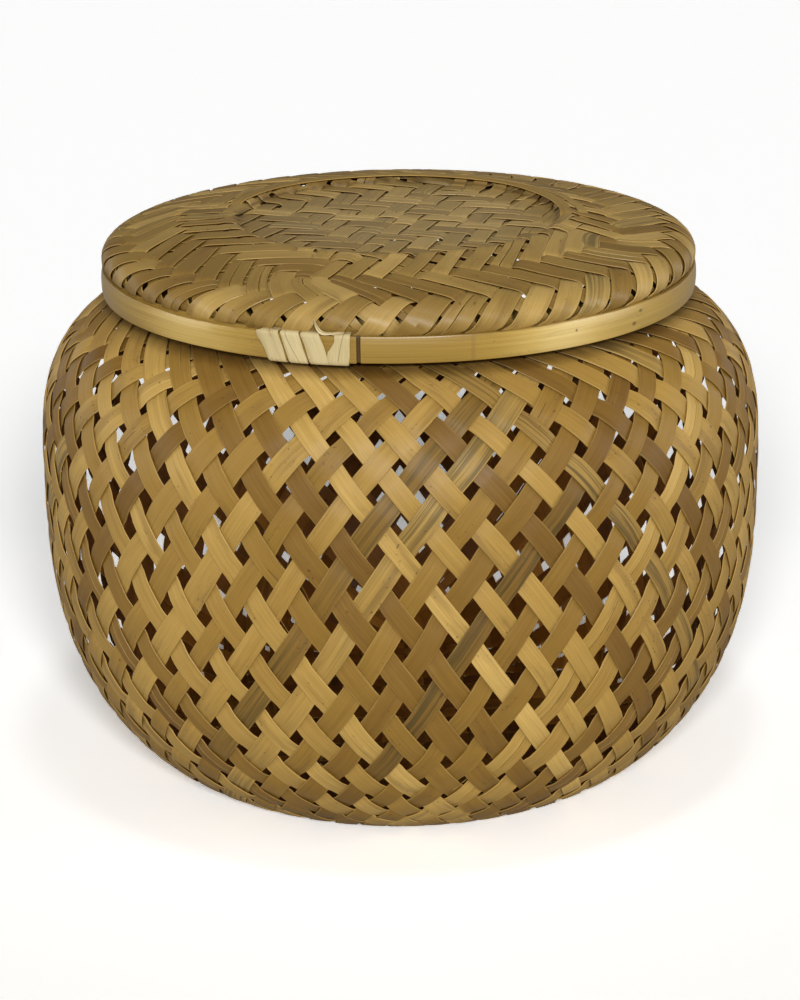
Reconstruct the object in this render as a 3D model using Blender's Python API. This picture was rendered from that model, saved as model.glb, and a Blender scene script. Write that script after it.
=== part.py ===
# Round plaited bamboo basket with a loose lid, built at its real size.
# Metres, +Z up. The origin is the middle of the flat base, and -Y is the front.

import math

import bmesh
import bpy
from mathutils import Vector

MM = 0.001

# The basket's body, outer sizes
BASE_RADIUS = 84.0 * MM
BELLY_RADIUS = 130.0 * MM
BELLY_HEIGHT = 108.0 * MM
SEAT_HEIGHT = 173.9 * MM
SEAT_FILLET = 3.4 * MM
NECK_REVEAL = 2.2 * MM
MOUTH_CLEAR_RADIUS = 90.2 * MM
LOWER_FULLNESS = 2.8
UPPER_FULLNESS = 3.5
CURVE_SOFTNESS = 1.5

# Two bamboo strips crossing make one woven wall
WALL = 1.6 * MM

# The body's open weave, as a plain grid of diamond openings between the base and the seat.
# Each opening keeps this much wall to the middles of the cell's sides.
OPENING_MARGIN = 2.2 * MM
OPENING_ROWS = 7
OPENING_FIRST_RING = 3

# Hoops of split bamboo, and the peel that lashes them to the weave
HOOP_DEPTH = 9.0 * MM
HOOP_EDGE = 0.6 * MM
MOUTH_HOOP_THICKNESS = 2.0 * MM
LID_HOOP_THICKNESS = 2.2 * MM
UNDER_STRIP_THICKNESS = 0.6 * MM
UNDER_STRIP_RISE = 0.9 * MM
UNDER_STRIP_END_TURN = 40.0
UNDER_STRIP_SHOW_FROM = 12.0
UNDER_STRIP_SHOW_TURN = 60.0
PEEL_THICKNESS = 0.6 * MM
PEEL_WIDTH = 6.3 * MM
PEEL_GAP = 0.6 * MM
PEEL_TURNS = 4
PEEL_SLANT = 3.4 * MM
PEEL_LAST_SPREAD = 3.6 * MM
LAP_SHOW = 1.8 * MM
LAP_TUCK = 7.0 * MM
LAP_TAPER = 14.0 * MM
LAP_END_GAP = 1.5 * MM

# The lid's dome, with a raised ring round a sunken middle
LID_EDGE_RISE = 2.6 * MM
LID_HEADROOM = 1.2 * MM
LID_SHOULDER_INSET = 12.0 * MM
LID_CREST_RISE = 9.0 * MM
LID_CREST_RADIUS = 57.5 * MM
LID_CREST_WIDTH = 8.0 * MM
LID_DISH_DEPTH = 3.8 * MM

# Clearances
FIT = 0.3 * MM
LID_PLAY = 1.3 * MM

# Where the lashings stand, in degrees round from the front, towards +X
LID_LASHING_ANGLES = {"lid_front_lashing": -17.0, "lid_back_lashing": 163.0}
MOUTH_LASHING_ANGLES = {
    "mouth_lashing_left": -77.0,
    "mouth_lashing_right": 43.0,
    "mouth_lashing_back": 163.0,
}

# How finely the round forms are cut
ROUND_STEPS = 56
LOWER_STEPS = 10
UPPER_STEPS = 7
CURVE_STEPS = 8
PEEL_SIDE_STEPS = 4
PEEL_END_STEPS = 3

# Sizes that follow from the ones above, from the mouth's middle outwards
mouth_inner_hoop_out = MOUTH_CLEAR_RADIUS + MOUTH_HOOP_THICKNESS
neck_in = mouth_inner_hoop_out + FIT
neck_out = neck_in + WALL
mouth_outer_hoop_in = neck_out + FIT
mouth_outer_hoop_out = mouth_outer_hoop_in + MOUTH_HOOP_THICKNESS
peel_build = FIT + PEEL_THICKNESS
lid_inner_hoop_in = mouth_outer_hoop_out + peel_build + LID_PLAY
lid_inner_hoop_out = lid_inner_hoop_in + LID_HOOP_THICKNESS
skirt_in = lid_inner_hoop_out + FIT
skirt_out = skirt_in + WALL
under_strip_in = skirt_out + FIT
under_strip_out = under_strip_in + UNDER_STRIP_THICKNESS
lid_outer_hoop_in = under_strip_out + FIT
lid_outer_hoop_out = lid_outer_hoop_in + LID_HOOP_THICKNESS

# Heights that follow
seat_radius = neck_out + SEAT_FILLET
mouth_hoop_low = SEAT_HEIGHT + SEAT_FILLET + NECK_REVEAL
mouth_height = mouth_hoop_low + HOOP_DEPTH
lid_hoop_low = SEAT_HEIGHT + FIT + peel_build
lid_hoop_high = lid_hoop_low + HOOP_DEPTH
slot_depth = FIT + PEEL_THICKNESS + FIT
lid_edge_height = lid_hoop_high + LID_EDGE_RISE
lid_corner_height = mouth_height + peel_build + WALL + LID_HEADROOM
crest_height = lid_corner_height + LID_CREST_RISE
dish_height = crest_height - LID_DISH_DEPTH


def clear_scene():
    for item in list(bpy.data.objects):
        bpy.data.objects.remove(item, do_unlink=True)


def make_material(name, colour, roughness):
    material = bpy.data.materials.new(name)
    material.use_nodes = True
    shader = material.node_tree.nodes["Principled BSDF"]
    shader.inputs["Base Color"].default_value = (*colour, 1.0)
    shader.inputs["Roughness"].default_value = roughness
    shader.inputs["Metallic"].default_value = 0.0
    return material


def add_object(name, vertices, faces, material, sharp_degrees=40.0):
    mesh = bpy.data.meshes.new(name)
    mesh.from_pydata([tuple(point) for point in vertices], [], faces)
    mesh.materials.append(material)
    work = bmesh.new()
    work.from_mesh(mesh)
    bmesh.ops.recalc_face_normals(work, faces=work.faces)
    work.to_mesh(mesh)
    work.free()
    mesh.shade_smooth()
    mesh.set_sharp_from_angle(angle=math.radians(sharp_degrees))
    piece = bpy.data.objects.new(name, mesh)
    bpy.context.scene.collection.objects.link(piece)
    return piece


def around(radius, degrees_from_front, height):
    # A point on a circle about the Z axis; 0 degrees is the front, -Y.
    turn = math.radians(degrees_from_front)
    return Vector((radius * math.sin(turn), -radius * math.cos(turn), height))


def bent_corner(start, corner, end, steps):
    # A smooth turn from start to end that heads for the corner, both ends included.
    points = []
    for step in range(steps + 1):
        t = step / steps
        points.append(tuple(
            (1 - t) ** 2 * a + 2 * t * (1 - t) * b + t ** 2 * c
            for a, b, c in zip(start, corner, end)
        ))
    return points


def swelling_curve(narrow_radius, wide_radius, narrow_height, wide_height, fullness, steps):
    # A full quarter curve from the narrow end, where it lies flat, to the belly, where it
    # stands upright, in steps of one length.
    fine = []
    fine_steps = steps * CURVE_STEPS
    for step in range(fine_steps + 1):
        turn = math.pi / 2 * (1 - step / fine_steps)
        radius = narrow_radius + (wide_radius - narrow_radius) * math.cos(turn) ** CURVE_SOFTNESS
        height = wide_height + (narrow_height - wide_height) * math.sin(turn) ** (2 / fullness)
        fine.append((radius, height))
    return even_points(fine, steps)


def even_points(points, steps):
    # Points that part a run of close points into steps of one length, both ends included.
    runs = [0.0]
    for first, second in zip(points, points[1:]):
        runs.append(runs[-1] + math.dist(first, second))
    even = [points[0]]
    index = 1
    for step in range(1, steps):
        run = runs[-1] * step / steps
        while runs[index] < run:
            index += 1
        share = (run - runs[index - 1]) / (runs[index] - runs[index - 1])
        even.append(tuple(a + (b - a) * share for a, b in zip(points[index - 1], points[index])))
    return even + [points[-1]]


def offset_outline(points, distance):
    # The same outline moved to its left, as it runs, by the distance.
    moved = []
    for index, here in enumerate(points):
        before = points[max(index - 1, 0)]
        after = points[min(index + 1, len(points) - 1)]
        normals = []
        for first, second in ((before, here), (here, after)):
            run = (second[0] - first[0], second[1] - first[1])
            length = math.hypot(*run)
            if length > 0:
                normals.append((-run[1] / length, run[0] / length))
        mean = [sum(part) / len(normals) for part in zip(*normals)]
        size = math.hypot(*mean)
        moved.append((
            here[0] + distance * mean[0] / size ** 2,
            here[1] + distance * mean[1] / size ** 2,
        ))
    return moved


def turned_solid(name, outline, material, openings=()):
    # Turns a closed outline about Z. Its first and last points lie on the axis, or none do.
    # An opening names its ring on the outer side, its ring on the inner side and its step.
    vertices = []
    rings = []
    for radius, height in outline:
        if radius < FIT:
            rings.append([len(vertices)])
            vertices.append((0.0, 0.0, height))
        else:
            rings.append(list(range(len(vertices), len(vertices) + ROUND_STEPS)))
            for step in range(ROUND_STEPS):
                vertices.append(around(radius, 360.0 * step / ROUND_STEPS, height))
    faces = {}
    closes_on_axis = len(rings[0]) == 1
    pairs = list(zip(rings, rings[1:]))
    if not closes_on_axis:
        pairs.append((rings[-1], rings[0]))
    for ring, (lower, upper) in enumerate(pairs):
        for step in range(ROUND_STEPS):
            after = (step + 1) % ROUND_STEPS
            if len(lower) == 1:
                faces[ring, step] = (lower[0], upper[step], upper[after])
            elif len(upper) == 1:
                faces[ring, step] = (lower[step], upper[0], lower[after])
            else:
                faces[ring, step] = (lower[step], upper[step], upper[after], lower[after])
    for outer_ring, inner_ring, step in openings:
        left, high, right, low = cut_diamond(vertices, rings, faces, outer_ring, step)
        in_left, in_low, in_right, in_high = cut_diamond(vertices, rings, faces, inner_ring, step)
        faces[outer_ring, step, "sides"] = (left, high, in_high, in_left)
        faces[outer_ring, step, "roof"] = (high, right, in_right, in_high)
        faces[inner_ring, step, "sides"] = (right, low, in_low, in_right)
        faces[inner_ring, step, "sill"] = (low, left, in_left, in_low)
    return add_object(name, vertices, list(faces.values()), material)


def cut_diamond(vertices, rings, faces, ring, step):
    # Cuts a diamond out of the two facets that meet at a ring. Its corners are numbered from
    # the left one, by way of the one on the next ring's side.
    after = (step + 1) % ROUND_STEPS
    before, here, beyond = rings[ring - 1], rings[ring], rings[ring + 1]
    left, right = Vector(vertices[here[step]]), Vector(vertices[here[after]])
    centre = (left + right) / 2
    sides = [left, centre_of(vertices, beyond, step, after), right,
             centre_of(vertices, before, step, after)]
    corners = []
    for side in sides:
        corners.append(len(vertices))
        vertices.append(side + (centre - side).normalized() * OPENING_MARGIN)
    first, far, second, near = corners
    faces[ring, step] = (here[step], first, far, second, here[after], beyond[after], beyond[step])
    faces[ring - 1, step] = (here[after], second, near, first, here[step], before[step], before[after])
    return corners


def centre_of(vertices, ring, step, after):
    return (Vector(vertices[ring[step]]) + Vector(vertices[ring[after]])) / 2


def body_outline():
    # The body's outer side, from the middle of the base up to the mouth.
    outer = swelling_curve(BASE_RADIUS, BELLY_RADIUS, 0.0, BELLY_HEIGHT, LOWER_FULLNESS, LOWER_STEPS)
    upper = swelling_curve(
        seat_radius, BELLY_RADIUS, SEAT_HEIGHT, BELLY_HEIGHT, UPPER_FULLNESS, UPPER_STEPS
    )
    outer += list(reversed(upper))[1:]
    outer += bent_corner(
        (seat_radius, SEAT_HEIGHT),
        (neck_out, SEAT_HEIGHT),
        (neck_out, SEAT_HEIGHT + SEAT_FILLET),
        3,
    )[1:]
    outer.append((neck_out, mouth_height))
    return outer


def make_body_weave(material):
    outer = body_outline()
    inner = offset_outline(outer, WALL)
    inner[-1] = (neck_in, mouth_height)
    inner[0] = (inner[0][0], WALL)
    outline = [(0.0, 0.0)] + outer + list(reversed(inner)) + [(0.0, WALL)]
    body = turned_solid("body_weave", outline, material, weave_openings(len(outer)))
    for name, angle in MOUTH_LASHING_ANGLES.items():
        cut_slot(body, name, angle, neck_in, neck_out, mouth_hoop_low - slot_depth)
    return body


def weave_openings(outline_points):
    # Rows of openings at every second ring up the side, each row a step on from the last.
    openings = []
    for row in range(OPENING_ROWS):
        side_ring = OPENING_FIRST_RING + 2 * row
        outer_ring = 1 + side_ring
        inner_ring = 2 * outline_points - side_ring
        openings += [(outer_ring, inner_ring, step) for step in range(row % 2, ROUND_STEPS, 2)]
    return openings


def lid_outline():
    # The lid's outer side, from the bottom of its skirt to the middle of its dish.
    edge_radius = lid_outer_hoop_out - FIT
    slope = LID_CREST_RISE / (edge_radius - LID_CREST_RADIUS)
    shoulder_rise = lid_corner_height - lid_edge_height
    skirt_high = lid_hoop_high + slot_depth + FIT
    outer = [(skirt_out, lid_hoop_low + FIT), (skirt_out, skirt_high)]
    outer += [(edge_radius - FIT, (skirt_high + lid_edge_height) / 2), (edge_radius, lid_edge_height)]
    outer += bent_corner(
        (edge_radius, lid_edge_height + shoulder_rise / 4),
        (edge_radius, lid_corner_height),
        (edge_radius - LID_SHOULDER_INSET, lid_corner_height + slope * LID_SHOULDER_INSET),
        CURVE_STEPS - 2,
    )
    outer += bent_corner(
        (LID_CREST_RADIUS + LID_CREST_WIDTH / 2, crest_height - slope * LID_CREST_WIDTH / 2),
        (LID_CREST_RADIUS + LID_CREST_WIDTH / 4, crest_height),
        (LID_CREST_RADIUS, crest_height),
        2,
    )
    half_way = (LID_CREST_RADIUS - LID_CREST_WIDTH / 2, crest_height - LID_DISH_DEPTH / 2)
    outer += bent_corner(
        outer[-1], (LID_CREST_RADIUS - LID_CREST_WIDTH / 4, crest_height), half_way, 3
    )[1:]
    outer += bent_corner(
        half_way,
        (LID_CREST_RADIUS - LID_CREST_WIDTH * 3 / 4, dish_height),
        (LID_CREST_RADIUS - LID_CREST_WIDTH, dish_height),
        3,
    )[1:]
    return outer


def make_lid_weave(material):
    outer = lid_outline()
    inner = offset_outline(outer, WALL)
    inner[0] = (skirt_in, outer[0][1])
    inner[1] = (skirt_in, outer[1][1])
    inner[-1] = (inner[-1][0], dish_height - WALL)
    outline = [(0.0, dish_height - WALL)] + list(reversed(inner)) + outer + [(0.0, dish_height)]
    lid = turned_solid("lid_weave", outline, material)
    for name, angle in LID_LASHING_ANGLES.items():
        cut_slot(lid, name, angle, skirt_in, skirt_out, lid_hoop_high)
    return lid


def cut_slot(woven, lashing_name, angle, r_in, r_out, z_low):
    # The gap in a woven wall that a lashing passes through, beside the hoops it binds.
    half_run = lashing_run() / 2 + PEEL_WIDTH / 2 + PEEL_SLANT + FIT
    half_turn = math.degrees(half_run / r_in)
    steps = 4
    vertices = []
    for radius in (r_in - WALL, r_out + WALL):
        for height in (z_low, z_low + slot_depth):
            for step in range(steps + 1):
                turn = angle - half_turn + 2 * half_turn * step / steps
                vertices.append(around(radius, turn, height))
    row = steps + 1
    faces = [(0, row, 3 * row, 2 * row), (row - 1, 2 * row - 1, 4 * row - 1, 3 * row - 1)]
    for step in range(steps):
        for first, second in ((0, 1), (1, 3), (3, 2), (2, 0)):
            a = first * row + step
            b = second * row + step
            faces.append((a, b, b + 1, a + 1))
    cutter = add_object(lashing_name + "_slot", vertices, faces, woven.data.materials[0])
    cutter.hide_render = True
    cutter.display_type = "WIRE"
    cut = woven.modifiers.new(cutter.name, "BOOLEAN")
    cut.operation = "DIFFERENCE"
    cut.solver = "EXACT"
    cut.object = cutter


def hoop_section(r_in, r_out, z_low, z_high, round_side):
    # Corners of a flat strip's section, the long edges of its skin side taken off.
    if round_side == "out":
        edge = min(HOOP_EDGE, (r_out - r_in) / 3)
        return [
            (r_in, z_low), (r_out - edge, z_low), (r_out, z_low + edge),
            (r_out, z_high - edge), (r_out - edge, z_high), (r_in, z_high),
        ]
    if round_side == "in":
        edge = min(HOOP_EDGE, (r_out - r_in) / 3)
        return [
            (r_in, z_low + edge), (r_in + edge, z_low), (r_out, z_low),
            (r_out, z_high), (r_in + edge, z_high), (r_in, z_high - edge),
        ]
    return [(r_in, z_low), (r_out, z_low), (r_out, z_high), (r_in, z_high)]


def ray_turns(start_angle, end_turn, fixed_turns):
    # Stations on the same rays as the turned solids, so that the flats lie side by side,
    # and the fixed stations between them.
    step_turn = 360.0 / ROUND_STEPS
    turns = [turn for turn in fixed_turns if 0.0 <= turn <= end_turn]
    ray = start_angle % step_turn
    while ray < end_turn:
        if all(abs(ray - turn) > step_turn / 4 for turn in fixed_turns):
            turns.append(ray)
        ray += step_turn
    return sorted(turns)


def swept_strip(name, start_angle, sections, material):
    # Joins the sections, each a turn left of the start angle and its corners, end to end.
    vertices = []
    corners = len(sections[0][1])
    for turn, section in sections:
        for radius, height in section:
            vertices.append(around(radius, start_angle - turn, height))
    last = len(vertices) - corners
    faces = [tuple(range(corners)), tuple(last + corner for corner in range(corners))]
    for station in range(len(sections) - 1):
        for corner in range(corners):
            a = station * corners + corner
            b = station * corners + (corner + 1) % corners
            faces.append((a, b, b + corners, a + corners))
    return add_object(name, vertices, faces, material)


def lapped_hoop(name, r_in, r_out, z_low, z_high, lashing_angle, round_side, material):
    # One strip bent round until its ends lap under a lashing. The end on top starts just
    # right of the lashing and runs left; the other end is thinned and lies under it.
    r_mid = (r_in + r_out) / 2
    lashed = lashing_run() + PEEL_WIDTH
    start_angle = lashing_angle + math.degrees((lashed / 2 + LAP_SHOW) / r_mid)
    lap = math.degrees((LAP_SHOW + lashed + LAP_TUCK) / r_mid)
    taper = math.degrees(LAP_TAPER / r_mid)
    top_end = lap + math.degrees(LAP_END_GAP / r_mid)
    fixed = [0.0, lap, top_end, top_end + taper, 360.0 - taper, 360.0, 360.0 + lap]
    sections = []
    for turn in ray_turns(start_angle, 360.0 + lap, fixed):
        inside, outside = r_in, r_out
        if turn < top_end + taper:
            thinned = min(1.0, (top_end + taper - turn) / taper)
            inside = r_in + (r_mid + FIT / 2 - r_in) * thinned
        if turn > 360.0 - taper:
            thinned = min(1.0, (turn - 360.0 + taper) / taper)
            outside = r_out - (r_out - r_mid + FIT / 2) * thinned
        sections.append((turn, hoop_section(inside, outside, z_low, z_high, round_side)))
    return swept_strip(name, start_angle, sections, material)


def make_mouth_hoops(material):
    lapped_hoop(
        "mouth_inner_hoop", MOUTH_CLEAR_RADIUS, mouth_inner_hoop_out, mouth_hoop_low,
        mouth_height, MOUTH_LASHING_ANGLES["mouth_lashing_back"], "in", material,
    )
    lapped_hoop(
        "mouth_outer_hoop", mouth_outer_hoop_in, mouth_outer_hoop_out, mouth_hoop_low,
        mouth_height, MOUTH_LASHING_ANGLES["mouth_lashing_right"], "out", material,
    )


def make_lid_hoops(material):
    lapped_hoop(
        "lid_inner_hoop", lid_inner_hoop_in, lid_inner_hoop_out, lid_hoop_low,
        lid_hoop_high, LID_LASHING_ANGLES["lid_back_lashing"], "in", material,
    )
    lapped_hoop(
        "lid_outer_hoop", lid_outer_hoop_in, lid_outer_hoop_out, lid_hoop_low,
        lid_hoop_high, LID_LASHING_ANGLES["lid_front_lashing"], "out", material,
    )


def make_under_strip(material):
    # A thin strip behind the lid's outer hoop. It shows above the hoop to the left of the
    # front lashing, and its ends meet at the back.
    start_angle = LID_LASHING_ANGLES["lid_back_lashing"] - UNDER_STRIP_END_TURN
    end_turn = 360.0 - math.degrees(LAP_END_GAP / under_strip_in)
    show_right = LID_LASHING_ANGLES["lid_front_lashing"] - UNDER_STRIP_SHOW_FROM
    sections = []
    for turn in ray_turns(start_angle, end_turn, [0.0, end_turn]):
        left_of_front = show_right - (start_angle - turn)
        rise = 0.0
        if 0.0 < left_of_front < UNDER_STRIP_SHOW_TURN:
            rise = UNDER_STRIP_RISE * math.sin(math.pi * left_of_front / UNDER_STRIP_SHOW_TURN)
        section = hoop_section(under_strip_in, under_strip_out, lid_hoop_low, lid_hoop_high + rise, "")
        sections.append((turn, section))
    return swept_strip("lid_under_strip", start_angle, sections, material)


def lashing_tops():
    # How far along the hoop each turn crosses the top edge; the last stands apart.
    pitch = PEEL_WIDTH + PEEL_GAP
    tops = [pitch * turn for turn in range(PEEL_TURNS)]
    tops[-1] += PEEL_LAST_SPREAD
    return tops


def lashing_run():
    return lashing_tops()[-1]


def lashing_path(r_in, r_out, z_low, z_high):
    # The peel's middle line as it winds over the hoops, as (along, radius, height, facing).
    # Each turn comes up inside, crosses over the top, goes down the outside with a slant,
    # and passes below to the inside. The last turn ends below the hoops.
    reach = FIT + PEEL_THICKNESS / 2
    left, right = r_in - reach, r_out + reach
    low, high = z_low - reach, z_high + reach
    tops = lashing_tops()
    bottoms = [top + PEEL_SLANT for top in tops]
    bottoms[-1] = tops[-1] - FIT
    points = []
    for turn, (top, bottom) in enumerate(zip(tops, bottoms)):
        came_from = bottoms[turn - 1] if turn else top - PEEL_SLANT
        rise_from = low if turn else (low + high) / 2
        below_to = left if turn < PEEL_TURNS - 1 else (left + right) / 2
        sides = [
            ((came_from, left, rise_from), (top, left, high), (-1, 0), PEEL_SIDE_STEPS),
            ((top, left, high), (top, right, high), (0, 1), PEEL_END_STEPS),
            ((top, right, high), (bottom, right, low), (1, 0), PEEL_SIDE_STEPS),
            ((bottom, right, low), (bottom, below_to, low), (0, -1), PEEL_END_STEPS),
        ]
        for start, end, facing, steps in sides:
            for step in range(steps):
                share = step / steps
                middle = [a + (b - a) * share for a, b in zip(start, end)]
                points.append((*middle, facing))
    points.append((bottoms[-1], (left + right) / 2, low, (0, -1)))
    return points


def wound_peel(name, r_in, r_out, z_low, z_high, angle, material):
    # A flat peel wound round a pair of hoops as one unbroken strip.
    path = lashing_path(r_in, r_out, z_low, z_high)
    radius = (r_in + r_out) / 2
    vertices = []
    for index, (along, r, z, facing) in enumerate(path):
        before = path[max(index - 1, 0)][3]
        face = Vector((before[0] + facing[0], before[1] + facing[1])).normalized()
        face *= PEEL_THICKNESS / 2
        for width_side, face_side in ((-1, -1), (1, -1), (1, 1), (-1, 1)):
            place = along - lashing_run() / 2 + width_side * PEEL_WIDTH / 2
            turn = angle + math.degrees(place / radius)
            vertices.append(around(r + face_side * face.x, turn, z + face_side * face.y))
    faces = [(0, 1, 2, 3), tuple(len(vertices) - 4 + corner for corner in range(4))]
    for station in range(len(path) - 1):
        for corner in range(4):
            a = station * 4 + corner
            b = station * 4 + (corner + 1) % 4
            faces.append((a, b, b + 4, a + 4))
    print(name, "turns", PEEL_TURNS, "least gap to itself mm", round(least_gap(vertices) / MM, 2))
    return add_object(name, vertices, faces, material)


def least_gap(vertices):
    # The least distance between the strip's points that lie half a turn or more apart.
    half_turn = 4 * (PEEL_SIDE_STEPS + PEEL_END_STEPS)
    return min(
        (first - second).length
        for index, first in enumerate(vertices)
        for second in vertices[index + half_turn:]
    )


def main():
    clear_scene()
    woven = make_material("woven_bamboo", (0.47, 0.32, 0.13), 0.6)
    lid_woven = make_material("lid_woven_bamboo", (0.45, 0.32, 0.14), 0.6)
    hoop = make_material("split_bamboo_hoop", (0.55, 0.37, 0.14), 0.45)
    peel = make_material("bamboo_peel", (0.72, 0.62, 0.40), 0.5)
    make_body_weave(woven)
    make_mouth_hoops(hoop)
    for name, angle in MOUTH_LASHING_ANGLES.items():
        wound_peel(
            name, MOUTH_CLEAR_RADIUS, mouth_outer_hoop_out,
            mouth_hoop_low, mouth_height, angle, peel,
        )
    make_lid_weave(lid_woven)
    make_lid_hoops(hoop)
    make_under_strip(hoop)
    for name, angle in LID_LASHING_ANGLES.items():
        wound_peel(
            name, lid_inner_hoop_in, lid_outer_hoop_out,
            lid_hoop_low, lid_hoop_high, angle, peel,
        )


main()
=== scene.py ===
# A round plaited bamboo basket with a loose lid. Each strip of the two woven walls is laid one
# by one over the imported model, then come the bent hoops, their peel lashings and the finishes.
import math

import bpy
import numpy as np
from mathutils import Matrix, Vector


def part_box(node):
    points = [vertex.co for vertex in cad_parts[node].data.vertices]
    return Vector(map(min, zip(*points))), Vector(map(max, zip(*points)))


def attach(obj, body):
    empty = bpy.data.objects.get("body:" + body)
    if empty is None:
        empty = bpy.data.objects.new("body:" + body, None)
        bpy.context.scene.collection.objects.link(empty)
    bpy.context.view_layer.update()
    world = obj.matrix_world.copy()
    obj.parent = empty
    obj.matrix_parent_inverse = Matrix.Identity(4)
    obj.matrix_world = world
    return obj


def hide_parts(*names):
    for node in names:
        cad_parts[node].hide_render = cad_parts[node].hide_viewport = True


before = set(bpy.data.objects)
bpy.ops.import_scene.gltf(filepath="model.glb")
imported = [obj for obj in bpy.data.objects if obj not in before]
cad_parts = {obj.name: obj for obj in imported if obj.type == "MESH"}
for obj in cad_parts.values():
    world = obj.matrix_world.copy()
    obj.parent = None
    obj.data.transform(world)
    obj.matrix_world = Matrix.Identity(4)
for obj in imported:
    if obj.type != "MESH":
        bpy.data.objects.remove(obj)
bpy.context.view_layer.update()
mm = 0.001


# Small helpers

def smoothStep(low, high, value):
    share = np.clip((value - low) / (high - low), 0.0, 1.0)
    return share * share * (3.0 - 2.0 * share)


def between(first, last, share):
    return first + (last - first) * share


def bentCorner(start, corner, end, steps):
    # Points of a smooth turn from start to end that heads for the corner.
    share = np.linspace(0.0, 1.0, steps + 1)[:, None]
    start, corner, end = (np.array(point) for point in (start, corner, end))
    return (1 - share) ** 2 * start + 2 * share * (1 - share) * corner + share ** 2 * end


def bentLine(points, steps=8):
    # Bends from every second point to the next, those between being their corners.
    return np.concatenate([bentCorner(*points[at:at + 3], steps)
                           for at in range(0, len(points) - 2, 2)])


def runAlong(points):
    # How far along the line of points each of them lies.
    return np.append(0.0, np.cumsum(np.linalg.norm(np.diff(points, axis=0), axis=1)))


def unit(vectors):
    return vectors / np.maximum(np.linalg.norm(vectors, axis=1), 1e-9)[:, None]


def around(radius, degreesFromFront, height):
    turn = np.radians(degreesFromFront)
    return np.stack([radius * np.sin(turn), -radius * np.cos(turn), height + 0.0 * turn], -1)


def tubeQuads(sections, corners, firstPoint):
    # Quads between neighbouring sections of one closed strip, with both ends filled.
    station = np.arange(sections - 1)[:, None] * corners
    corner = np.arange(corners)[None, :]
    here, after = station + corner, station + (corner + 1) % corners
    quads = [np.stack([here, after, after + corners, here + corners], -1).reshape(-1, 4)]
    last = (sections - 1) * corners
    for near in range(corners // 2 - 1):
        far = corners - 1 - near
        quads.append([[near, far, far - 1, near + 1]])
        quads.append([[last + near, last + near + 1, last + far - 1, last + far]])
    return np.concatenate(quads) + firstPoint


def addObject(name, data):
    piece = bpy.data.objects.new(name, data)
    bpy.context.scene.collection.objects.link(piece)
    return piece


sharpDegrees = 38.0   # creases sharper than this aren't shaded smooth


def addStrips(name, strips):
    # One mesh of closed strips, each given by its sections and by its layers: values that
    # are spread over all its sections and corners, for the finish to read.
    points, quads, layers, first = [], [], {}, 0
    for sections, shades in strips:
        count, corners = np.shape(sections)[:2]
        points.append(np.ravel(sections))
        quads.append(tubeQuads(count, corners, first))
        for layer, values in shades.items():
            layers.setdefault(layer, []).append(np.broadcast_to(values, (count, corners)).ravel())
        first += count * corners
    quads = np.concatenate(quads)
    mesh = bpy.data.meshes.new(name)
    mesh.vertices.add(first)
    mesh.vertices.foreach_set("co", np.concatenate(points).astype(np.float32))
    mesh.loops.add(quads.size)
    mesh.loops.foreach_set("vertex_index", quads.ravel().astype(np.int32))
    mesh.polygons.add(len(quads))
    mesh.polygons.foreach_set("loop_start", np.arange(0, quads.size, 4, dtype=np.int32))
    mesh.update(calc_edges=True)
    mesh.shade_smooth()
    mesh.set_sharp_from_angle(angle=math.radians(sharpDegrees))
    for layer, values in layers.items():
        data = mesh.attributes.new(layer, "FLOAT", "POINT").data
        data.foreach_set("value", np.concatenate(values).astype(np.float32))
    return addObject(name, mesh)


def addStrip(name, sections, **layers):
    return addStrips(name, [(sections, layers)])


def finishPiece(piece, material, body, node):
    piece.data.materials.append(material)
    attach(piece, body)
    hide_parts(node)


# The outlines that the woven walls follow, from the middle outwards

bodyShape = {
    "baseRadius": 84.0 * mm,
    "bellyHeight": 108.0 * mm,
    "seatHeight": 173.1 * mm,
    "seatFillet": 3.4 * mm,
    "lowerFullness": 2.8,
    "upperFullness": 3.5,
    "softness": 1.5,
    "hoopFit": 0.3 * mm,
    "wall": 1.6 * mm,
}

lidShape = {
    "edgeHeight": 185.5 * mm,
    "foldHeight": 184.9 * mm,   # where the wall turns in behind the hoop
    "foldReach": 1.9 * mm,
    "foldFade": 3.6 * mm,
    "cornerHeight": 192.9 * mm,
    "shoulderInset": 10.5 * mm,
    "crestRise": 8.6 * mm,
    "crestRadius": 60.0 * mm,
    "crestWidth": 8.0 * mm,
    "crestCover": 0.5 * mm,     # room for the long strips that lie along the ring
    "ringInner": 57.4 * mm,     # where the ring rises from the dish
    "dishDepth": 2.3 * mm,
    "hoopFit": 0.3 * mm,
    "wall": 1.6 * mm,
}


def wallProfile(outline, wall, side, step=0.4 * mm):
    # Resamples an outer outline evenly and moves it in by half the wall, to the weave's
    # middle. side is 1 where the outside lies right of the run, -1 where it lies left.
    outline = np.array(outline)
    outline = outline[np.append(True, np.hypot(*np.diff(outline, axis=0).T) > 1e-6)]
    run = runAlong(outline)
    even = np.arange(0.0, run[-1], step)
    line = [np.interp(even, run, values) for values in outline.T]
    blur = np.ones(5) / 5
    slope = [np.convolve(np.pad(np.gradient(values), 2, mode="edge"), blur, "valid")
             for values in line]
    alongR, alongZ = slope / np.hypot(*slope)
    outR, outZ = side * alongZ, -side * alongR
    radius, height = line[0] - outR * wall / 2, line[1] - outZ * wall / 2
    radius[0] = 0.0
    return {"run": runAlong(np.stack([radius, height], 1)), "radius": radius, "height": height,
            "outR": outR, "outZ": outZ, "rimSlope": {"radius": alongR[-1], "height": alongZ[-1]}}


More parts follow.
